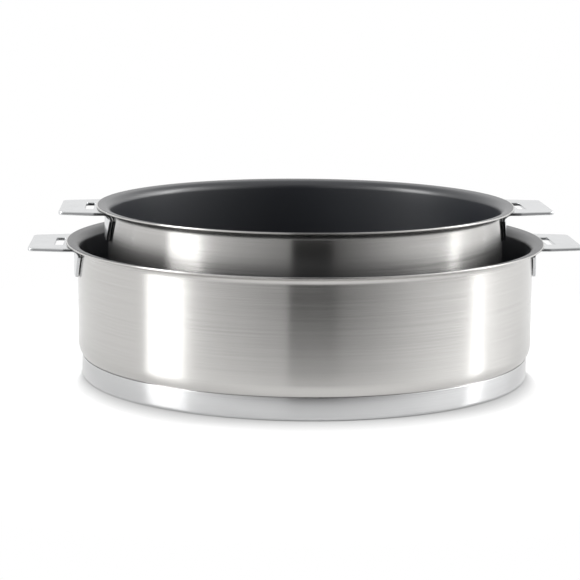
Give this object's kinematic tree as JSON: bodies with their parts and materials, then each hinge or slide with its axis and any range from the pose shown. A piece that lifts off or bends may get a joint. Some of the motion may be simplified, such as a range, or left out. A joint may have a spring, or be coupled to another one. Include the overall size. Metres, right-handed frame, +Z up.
{
  "type": "sauteuse pan",
  "caption": "Straight-sided steel sauteuse pans, nested, with non-stick lining, flared pouring rims, thick capped bases and slotted side tabs for a removable handle.",
  "frame": {"origin": "middle of the large pan's underside, on the surface it stands on", "axes": "+Z up the pans' shared axis, +X through the right handle brackets, +Y to the back"},
  "size_m": [0.338, 0.294, 0.1052],
  "materials": {
    "brushed_steel": "brushed round the wall",
    "polished_steel": "finely turned, half bright",
    "satin_steel": "satin",
    "aluminium_core": "plain",
    "nonstick": "satin non-stick coating"
  },
  "bodies": {
    "outer_pan": {"outer_pan_body": "brushed_steel", "outer_nonstick_lining": "nonstick", "outer_heat_spreader": "aluminium_core", "outer_base_cap": "polished_steel", "outer_right_bracket": "satin_steel", "outer_left_bracket": "satin_steel"},
    "inner_pan": {"inner_pan_body": "brushed_steel", "inner_nonstick_lining": "nonstick", "inner_heat_spreader": "aluminium_core", "inner_base_cap": "polished_steel", "inner_right_bracket": "satin_steel", "inner_left_bracket": "satin_steel"}
  },
  "joints": [
    {"name": "inner_pan_lift", "type": "slide", "parent": "outer_pan", "child": "inner_pan", "axis": [0, 0, 1], "range_m": [0, 0.1]}
  ]
}
